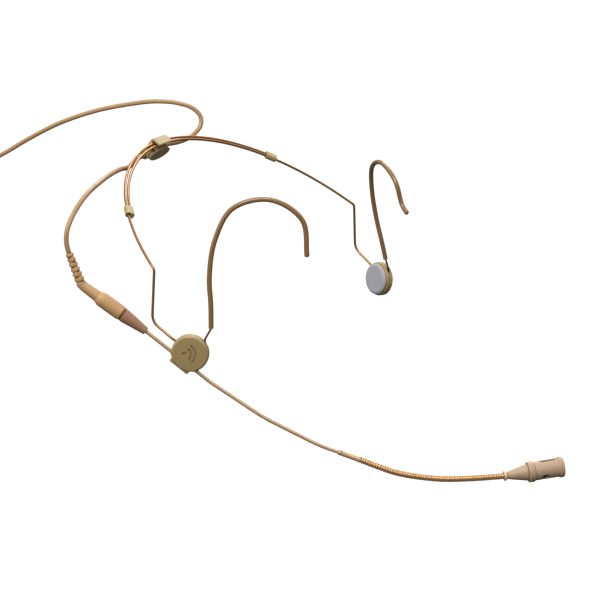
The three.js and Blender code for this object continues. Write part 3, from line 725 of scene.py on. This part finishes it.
def add_neckband():
    """Two wires, drawn a little fuller than in the CAD, that overlap behind the neck."""
    for side, other in (("right", "left"), ("left", "right")):
        sign = SIGN[side]
        radius = BAND_RADIUS + (WIRE_SPACING / 2 if side == "right" else -WIRE_SPACING / 2)
        start, end = SLIDER[other] - sign * rad(0.6), sign * BAND_END
        arc = [on_band(start + (end - start) * k / 150, radius) for k in range(150)]
        knee, elbow = [V(-sign * p.x, p.y, p.z) for p in (KNEE, ELBOW)]
        path = Path(arc + bent([on_band(end, radius), knee, elbow, *anchor(side)], [2, 5, 1.5, 1]))
        obj = sweep(f"band_wire_{side}", path, wire_ends(0, path.length, WIRE_SHOWN), 20)
        finish_piece(obj, "wire", "neckband_wire", f"{side}_half", f"neckband_wire_{side}")


add_neckband()

# ---------------------------------------------------------------- discs, pads and hooks

BOOM_PITCH, BOOM_OFFSET = rad(38.9), 4
DISC_RADIUS = 6.75
HOUSING = {"length": 8, "near": 2.6, "far": 6.85}
MARK = {"dot": 0.8, "arcs": (2.4, 4), "half_width": 0.3, "half_angle": rad(52), "behind": 1.9, "floor": 4.18}
PIN_FORWARD = 5.2


def boom_line(ahead):
    return (SPLIT, ahead * math.cos(BOOM_PITCH) - BOOM_OFFSET * math.sin(BOOM_PITCH),
            -ahead * math.sin(BOOM_PITCH) - BOOM_OFFSET * math.cos(BOOM_PITCH))


def boom_point(ahead):
    return on_side("right", *boom_line(ahead))


BOOM_DIRECTION = (boom_point(1) - boom_point(0)).normalized()


def housing(name, low, high):
    """The block along the boom that closes round its clamp."""
    place = SIDES["right"] @ Matrix.Rotation(-BOOM_PITCH, 4, "X")
    half = HOUSING["length"] / 2
    corners = [(x, y, z) for x in (low, high) for y in (-half, half)
               for z in (-HOUSING["far"], -HOUSING["near"])]
    faces = [(0, 1, 3, 2), (4, 6, 7, 5), (0, 4, 5, 1), (2, 3, 7, 6), (0, 2, 6, 4), (1, 5, 7, 3)]
    return make(name, [place @ V(*c) for c in corners], faces)


def channel_tools(side):
    elbow = V(-SIGN[side] * ELBOW.x, ELBOW.y, ELBOW.z)
    route = Path(bent([elbow, *anchor(side)], [1.5, 1]))
    wire = sweep("wire_channel", route, [(0, 0), (0, WIRE + 0.15), (route.length + 0.4, WIRE + 0.15),
                                         (route.length + 0.4, 0)], 16)
    up = straight(on_side(side, SPLIT, PIN_FORWARD, 0), side_direction(side, 0, 0, 1))
    shaft = sweep("pin_shaft", up, [(0, 0), (0, 0.62), (8, 0.62), (8, 0)], 20)
    seat = sweep("pin_seat", up, [(-2.25, 0), (-2.25, 1.1), (2.25, 1.1), (2.25, 0)], 20)
    tools = [wire, shaft, seat]
    if side == "right":
        bore = straight(boom_point(0), BOOM_DIRECTION)
        tools.append(sweep("boom_bore", bore, [(-12, 0), (-12, 1.26), (12, 1.26), (12, 0)], 32))
    return tools


def mark_tools(side):
    """The plain mark sunk in the cap: a dot with two arcs that open forward."""
    turn = Matrix(((0, 0, 1), (1, 0, 0), (0, 1, 0))).to_4x4()
    place = SIDES[side] @ Matrix.Translation(V(MARK["floor"], -MARK["behind"], 0)) @ turn
    half = MARK["half_angle"]
    tools = []
    for middle in MARK["arcs"]:
        arc = []
        for radius, order in ((middle - MARK["half_width"], 1), (middle + MARK["half_width"], -1)):
            turns = [-half + 2 * half * k / 24 for k in range(25)][::order]
            arc += [(radius * math.cos(t), radius * math.sin(t)) for t in turns]
        tools.append(prism("mark_arc", arc[::-1], 1, place))
    dot = [(MARK["dot"] * math.cos(TAU * k / 32), MARK["dot"] * math.sin(TAU * k / 32)) for k in range(32)]
    tools.append(prism("mark_dot", dot, 1, place))
    return tools


def paint_lit_rim(obj, side, first, second):
    """The outer face takes the first material and the rounded edge and wall the second, a lighter copy of the
    same plastic that is a painted highlight.
    """
    obj.data.materials.clear()
    obj.data.materials.append(MATERIALS[first])
    obj.data.materials.append(MATERIALS[second])
    outward = side_direction(side, 1, 0, 0)
    for face in obj.data.polygons:
        face.material_index = 0 if abs(face.normal.dot(outward)) > 0.93 else 1


def add_disc(side):
    body = f"{side}_half"
    axis = outward_path(side)
    radius = DISC_RADIUS
    base_outline = [(1.2, 0), (1.2, radius - 0.7), (1.8, radius), (2.62, radius), (2.62, 0)]
    cap_outline = [(2.78, 0), (2.78, radius), (3.95, radius), (4.6, radius - 0.55), (4.6, 0)]
    pad_outline = [(0.08, 0), (0.02, 4), (0, 5.4), (0.6, 6.2), (1.02, 6.2), (1.02, 0)]
    base = sweep("disc_base", axis, soft(base_outline, 0.35, 4), 96)
    cap = sweep("disc_cap", axis, soft(cap_outline, 0.4, 5), 96)
    for obj, low, high in ((base, 1.3, 2.6), (cap, 2.8, 4.2)):
        if side == "right":
            carve(obj, bevelled(housing("housing", low, high), 0.35), operation="UNION")
        tools = channel_tools(side) + (mark_tools(side) if obj is cap else [])
        for tool in tools:
            carve(obj, tool)
        shade(obj, 30)
    base.name, cap.name = f"base_{side}", f"cap_{side}"
    for obj, node in ((base, "disc_base"), (cap, "disc_cap")):
        finish_piece(obj, "disc", "disc_plastic", body, f"{node}_{side}")
    # The cap's rounded edge and wall get the lighter copy of its plastic as a painted highlight.
    paint_lit_rim(cap, side, "disc", "disc_lit_rim")
    pad = sweep(f"pad_{side}", axis, soft(pad_outline, 0.5, 5), 96)
    finish_piece(pad, "pad", "temple_pad", body, f"temple_pad_{side}")


HOOK = {
    "right": {"turn": rad(6), "lean": rad(2.5), "pitch": 0.0, "foot": (2.3, 0), "height": 1,
              "tip": [(36, 34.5)]},
    "left": {"turn": rad(19), "lean": rad(18.5), "pitch": rad(3), "foot": (0.6, 2.1), "height": 0.93,
             "tip": [(35.8, 38.5), (37, 36.6), (40, 34.4)]},
}
HOOK_CURVE = [(2.3, 9), (2.3, 17.5), (1.9, 27.5), (3.9, 40.5), (10.2, 51.9), (23.3, 54.9), (34.3, 47.7)]


def hook_point(side, forward, up):
    hook = HOOK[side]
    run, above = forward - HOOK_CURVE[0][0], (up - HOOK_CURVE[0][1]) * hook["height"]
    ahead = hook["foot"][0] + run * math.cos(hook["pitch"]) - above * math.sin(hook["pitch"])
    rise = above * math.cos(hook["pitch"]) + run * math.sin(hook["pitch"])
    inward = hook["foot"][1] + ahead * math.sin(hook["turn"]) + rise * math.sin(hook["lean"])
    return on_side(side, SPLIT - inward, PIN_FORWARD + ahead * math.cos(hook["turn"]),
                   HOOK_CURVE[0][1] + rise * math.cos(hook["lean"]))


def add_hook(side):
    curve = catmull([hook_point(side, *p) for p in HOOK_CURVE + HOOK[side]["tip"]], 0.8)
    path = Path(curve)
    outer, bore = 0.92, 0.5
    end = path.length
    profile = [(1.2, 0), (1.2, bore), (0, bore), (0, outer - 0.12), (0.12, outer)]
    profile += [(s, outer) for s in along(0.5, end - 0.6, 0.8)]
    profile += [(end - 0.25, outer - 0.1), (end - 0.05, outer - 0.35), (end, outer - 0.6), (end, 0)]
    sleeve = sweep(f"hook_tubing_{side}", path, profile, 24)
    finish_piece(sleeve, "sleeve", "hook_sleeve", f"ear_hook_{side}", f"ear_hook_sleeve_{side}")
    foot, rise = on_side(side, SPLIT, PIN_FORWARD, -2), on_side(side, SPLIT, PIN_FORWARD, 5)
    wire = Path(bent([foot, rise, curve[0]], [2]) + curve[1:4])
    obj = sweep(f"hook_wire_{side}", wire, wire_ends(0, wire.length, 0.4), 16)
    finish_piece(obj, "hook_wire", "hook_wire", f"ear_hook_{side}", f"ear_hook_wire_{side}")


for each_side in SIGN:
    add_disc(each_side)
    add_hook(each_side)

# ---------------------------------------------------------------- boom, gooseneck and microphone

BOOM = 0.7
BOOM_BENDS = [V(-61.5, -24.5, -23.3), V(-51.8, -42.6, -33.9)]
FERRULE = (V(-48.9, -47.7, -35.8), V(-44.6, -54.5, -38.9))
GOOSENECK = [V(-44.6, -54.5, -38.9), V(-41.2, -59.8, -41.5), V(-36.9, -66.1, -44.2), V(-28.6, -77.8, -46.6),
             V(-21.8, -86.8, -46.9), V(-14.5, -96.1, -46.6)]
MIC_NOSE = V(-0.4, -113, -44.2)
WINDING = {"pitch": 0.95, "radius": 1.22, "depth": 0.38}
RIBS, RIB_GAP = 6, 0.48


def add_boom():
    start, end = FERRULE
    corners = [boom_point(-20), boom_point(12.2), *BOOM_BENDS, start]
    path = Path(bent(corners, [25, 60, 60], rad(1.5)) + [start.lerp(end, 0.6)])
    tube = sweep("boom_pipe", path, wire_ends(0, path.length, BOOM, 0.1), 24)
    finish_piece(tube, "tube", "boom_metal", "boom", "boom_tube")
    length = (end - start).length
    outline = [(-0.02, BOOM), (0, 0.98), (0.12, 1.04), (1.3, 1.04), (1.38, 0.9), (1.55, 0.9), (1.63, 1.04),
               (length - 1.2, 1.04), (length - 1.15, 1.12), (length - 0.2, 1.12), (length - 0.15, 0.98),
               (length - 0.15, 0)]
    profile = [(0.5, 0), (0.5, BOOM)] + soft(outline, 0.04, 2)
    ferrule = sweep("boom_collar", straight(start, end - start), profile, 32)
    finish_piece(ferrule, "tube", "boom_metal", "boom", "boom_ferrule")


def add_gooseneck():
    """Closely wound wire, in four pieces that each reach across one joint."""
    path = Path(catmull(GOOSENECK, 0.3))
    span = path.length / 5
    cuts = [-0.1, 1.5 * span, 2.5 * span, 3.5 * span, path.length + 0.3]
    nodes = [["gooseneck_segment_1"], ["gooseneck_segment_2"], ["gooseneck_segment_3"],
             ["gooseneck_segment_4", "gooseneck_segment_5"]]

    def winding(s, turn):
        u = (s / WINDING["pitch"] - turn / TAU) % 1 - 0.5
        return -WINDING["depth"] * (2 * u) ** 2

    for k in range(4):
        low, high = cuts[k], cuts[k + 1]
        rows = along(low, high, WINDING["pitch"] / 8)
        profile = [(low, 0)] + [(s, WINDING["radius"]) for s in rows] + [(high, 0)]
        obj = sweep(f"gooseneck_winding_{k + 1}", path, profile, 24, winding, 75)
        paint(obj, "gooseneck")
        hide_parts(*nodes[k])
        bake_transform(obj)


def add_microphone():
    root = GOOSENECK[-1]
    direction = (MIC_NOSE - root).normalized()
    up = (V(0, 0, 1) - direction * direction.z).normalized()
    axis = straight(root, direction, up)
    across = direction.cross(up)

    def port(length, width, turn, at=16.8):
        outward = up * math.cos(turn) + across * math.sin(turn)
        sideways = outward.cross(direction)
        basis = Matrix((direction, sideways, outward)).transposed().to_4x4()
        place = Matrix.Translation(root + direction * at + outward * 1.9) @ basis
        return prism("port", stadium(length, width), 3, place)

    flange = [(0.3, 0), (0.3, 1.75), (0.65, 1.95), (1.05, 1.55), (1.55, 1.42), (1.55, 0)]
    cone = [(1.7, 0), (1.7, 1.35), (2.6, 1.62), (8, 2.86), (8.95, 3.05), (8.95, 0)]
    step = [(9.05, 0), (9.05, 3.5), (9.3, 3.8), (11.3, 3.8), (11.3, 2.4), (12.5, 2.4), (12.5, 0)]
    collar = sweep("mic_ring", axis, soft(flange, 0.2, 4), 48)
    boot = sweep("mic_cone", axis, soft(cone, 0.3, 4), 64)
    seat = sweep("mic_seat", axis, soft(step, 0.18, 4), 64)
    shell = [(11.45, 2.9), (11.45, 3.42), (20.4, 3.42), (20.6, 3.8), (22.05, 3.8), (22.3, 3.55), (22.3, 2.62),
             (21.8, 2.62), (21.8, 2.9), (11.45, 2.9)]
    basket = sweep("mic_shell", axis, soft(shell, 0.16, 3), 72)
    for tool in (port(6.4, 2.1, 0), port(2.9, 2.1, rad(124), 15), port(3, 2.1, math.pi)):
        carve(basket, tool)
    shade(basket, 30)
    pieces = [
        (collar, "collar", "mic_collar", "mic_collar"),
        (boot, "mic", "mic_plastic", "mic_boot"),
        (seat, "mic", "mic_plastic", "mic_capsule_seat"),
        (basket, "mic", "mic_plastic", "mic_basket"),
    ]
    for obj, look, slot, node in pieces:
        finish_piece(obj, look, slot, "gooseneck_5", node)


add_boom()
add_gooseneck()
add_microphone()

# ---------------------------------------------------------------- connector and strain relief


def rearward(pitch):
    return side_direction("right", 0, -math.cos(pitch), math.sin(pitch))


def add_connector():
    pitch = BOOM_PITCH - rad(2.6)
    origin = boom_point(-16.8)
    back = rearward(pitch).normalized()
    axis = straight(origin, back)
    taper = [(0.6, 0.72), (0, 0.8), (0, 1.3), (0.3, 1.42), (6.6, 2.2), (8.6, 2.42), (9.9, 2.55), (9.95, 2.05),
             (7, 2.05), (7, 0)]
    boot = sweep("connector_boot", axis, soft(taper, 0.25, 4), 64)
    finish_piece(boot, "boot", "plug_boot", "boom", "plug_boot")
    ring = [(10.0, 2.1), (10.0, 2.45), (10.62, 2.45), (10.62, 2.1), (10.0, 2.1)]
    seam = sweep("connector_seam", axis, soft(ring, 0.08), 64)
    finish_piece(seam, "seam", "seam_ring", "boom", "plug_seam_ring")
    shell = soft([(10.7, 2.1), (10.7, 2.55), (10.95, 2.72), (18.6, 2.74), (19.6, 2.66), (20.9, 2.2),
                  (21.25, 1.9), (21.25, 1.5), (16.6, 1.5), (16.6, 2.1), (10.7, 2.1)], 0.16, 4)
    finish_piece(sweep("connector_sleeve", axis, shell, 64), "connector", "connector_plastic", "boom",
                 "cable_connector_shell")
    neck, length = 28, 12
    onward = rearward(pitch + rad(34)).normalized()
    knee = origin + back * neck
    path = Path(bent([origin + back * 16.9, knee, knee + onward * length], [4.5], rad(4)), V(0, 0, 1))
    ribbed_from = path.length - length + 0.9
    pitch_step = (path.length - ribbed_from) / RIBS

    def outline(s):
        if s < 4.2:
            return 1.3
        if s < ribbed_from:
            f = min(1, (s - 4.3) / (ribbed_from - 5.5))
            return 2.05 - 0.3 * f
        return 1.82 - 0.4 * (s - ribbed_from) / (path.length - ribbed_from)

    def windows(s, turn):
        if s < ribbed_from or s > path.length - 0.35:
            return 0
        t = ((s - ribbed_from) % pitch_step) / pitch_step
        if t > RIB_GAP:
            return 0
        rib = int((s - ribbed_from) / pitch_step)
        groove = min(1, math.sin(math.pi * t / RIB_GAP) * 3)
        opening = max(0, math.cos(2 * (turn + (rib % 2) * math.pi / 2 + 0.6)))
        return -groove * (0.3 + 0.75 * min(1, opening * 2))

    profile = [(0.1, 0)] + [(s, outline(s)) for s in along(0.1, path.length - 0.25, 0.12)]
    profile += [(path.length - 0.1, 1.3), (path.length, 1.15), (path.length, 0.92), (path.length - 0.8, 0.9),
                (path.length - 0.8, 0)]
    relief = sweep("connector_relief", path, profile, 48, windows, 50)
    finish_piece(relief, "connector", "connector_plastic", "boom", "cable_strain_relief")


add_connector()

# ---------------------------------------------------------------- CAD pieces that keep their shape

KEPT = {
    "slider_right": "slider", "slider_left": "slider", "cable_clip_hook": "slider",
    "cable_clip_plate": "clip", "hook_bush_right": "brass", "hook_bush_left": "brass",
    "boom_clamp_sleeve": "dark", "boom_signal_lead": "dark",
    "plug_insulator": "dark", "socket_insulator": "dark", "plug_pin_1": "brass", "plug_pin_2": "brass",
    "plug_pin_3": "brass", "mic_capsule": "can", "mic_capsule_seal": "dark", "mic_front_mesh": "mesh",
    "jack_ring_insulator": "dark", "jack_tip_insulator": "dark",
}
ROUNDED = ("slider_right", "slider_left", "cable_clip_hook", "cable_clip_plate")
for node_name, look_name in KEPT.items():
    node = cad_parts[node_name]
    for slot_index in range(max(1, len(node.material_slots))):
        if node.material_slots:
            node.material_slots[slot_index].material = MATERIALS[look_name]
        else:
            node.data.materials.append(MATERIALS[look_name])
    if node_name in ROUNDED:
        modifier = node.modifiers.new("edge", "BEVEL")
        modifier.width = 0.14 * MM
        modifier.segments = 3
        modifier.limit_method = "ANGLE"
        modifier.angle_limit = rad(38)

# ---------------------------------------------------------------- floor, light and world


def add_light(name, location, size, energy):
    data = bpy.data.lights.new(name, "AREA")
    data.shape = "RECTANGLE"
    data.size, data.size_y = size
    data.energy = energy
    light = bpy.data.objects.new(name, data)
    bpy.context.scene.collection.objects.link(light)
    light.location = location
    light.rotation_euler = (-Vector(location)).to_track_quat("-Z", "Y").to_euler()


FLOOR_HALF, FLOOR_HEIGHT = 12, -0.42
# Brightness of the room by height, from straight down (0) to straight up (1); only the object sees it.
ROOM_STOPS = [(0.0, 0.16), (0.42, 0.12), (0.58, 0.3), (0.78, 0.9), (1.0, 1.0)]


def add_floor():
    """A pale floor that the camera sees and that throws no light back on the object."""
    mesh = bpy.data.meshes.new("floor")
    corners = [(-1, -1), (1, -1), (1, 1), (-1, 1)]
    mesh.from_pydata([(x * FLOOR_HALF, y * FLOOR_HALF, FLOOR_HEIGHT) for x, y in corners], [], [(0, 1, 2, 3)])
    floor = link("floor", mesh)
    material, nodes, links, shader = graph("pale_floor")
    pale = [(0.3, (0.93, 0.93, 0.93)), (0.7, (0.95, 0.95, 0.95))]
    links.new(ramp(nodes, links, noise(nodes, links, 0.8), pale), shader.inputs["Base Color"])
    shader.inputs["Roughness"].default_value = 0.9
    shader.inputs["Emission Color"].default_value = (1, 1, 1, 1)
    shader.inputs["Emission Strength"].default_value = 0.5
    mesh.materials.append(material)
    floor.visible_diffuse = False
    floor.visible_glossy = False
    floor.visible_transmission = False


def add_world():
    """A room that is bright overhead and dim below; behind the object the camera sees plain white."""
    world = bpy.data.worlds.new("studio")
    bpy.context.scene.world = world
    world.use_nodes = True
    nodes, links = world.node_tree.nodes, world.node_tree.links
    room = nodes["Background"]
    coordinates = nodes.new("ShaderNodeTexCoord")
    split = nodes.new("ShaderNodeSeparateXYZ")
    links.new(coordinates.outputs["Generated"], split.inputs["Vector"])
    height = nodes.new("ShaderNodeMapRange")
    height.inputs["From Min"].default_value = -1
    links.new(split.outputs["Z"], height.inputs["Value"])
    stops = [(position, (grey,) * 3) for position, grey in ROOM_STOPS]
    links.new(ramp(nodes, links, height.outputs["Result"], stops), room.inputs["Color"])
    room.inputs["Strength"].default_value = 0.75
    backdrop = nodes.new("ShaderNodeBackground")
    backdrop.inputs["Strength"].default_value = 1.0
    backdrop.inputs["Color"].default_value = (1, 1, 1, 1)
    path = nodes.new("ShaderNodeLightPath")
    mix = nodes.new("ShaderNodeMixShader")
    links.new(path.outputs["Is Camera Ray"], mix.inputs["Fac"])
    links.new(room.outputs["Background"], mix.inputs[1])
    links.new(backdrop.outputs["Background"], mix.inputs[2])
    links.new(mix.outputs["Shader"], nodes["World Output"].inputs["Surface"])


add_floor()
add_world()
add_light("key", (-0.9, -0.2, 1.1), (0.9, 0.9), 14)
add_light("fill", (-1.2, 0.9, 0.3), (0.8, 0.5), 3)
add_light("rim", (0.9, 0.3, 0.9), (0.6, 0.6), 6)
bpy.context.scene.view_settings.view_transform = "Standard"
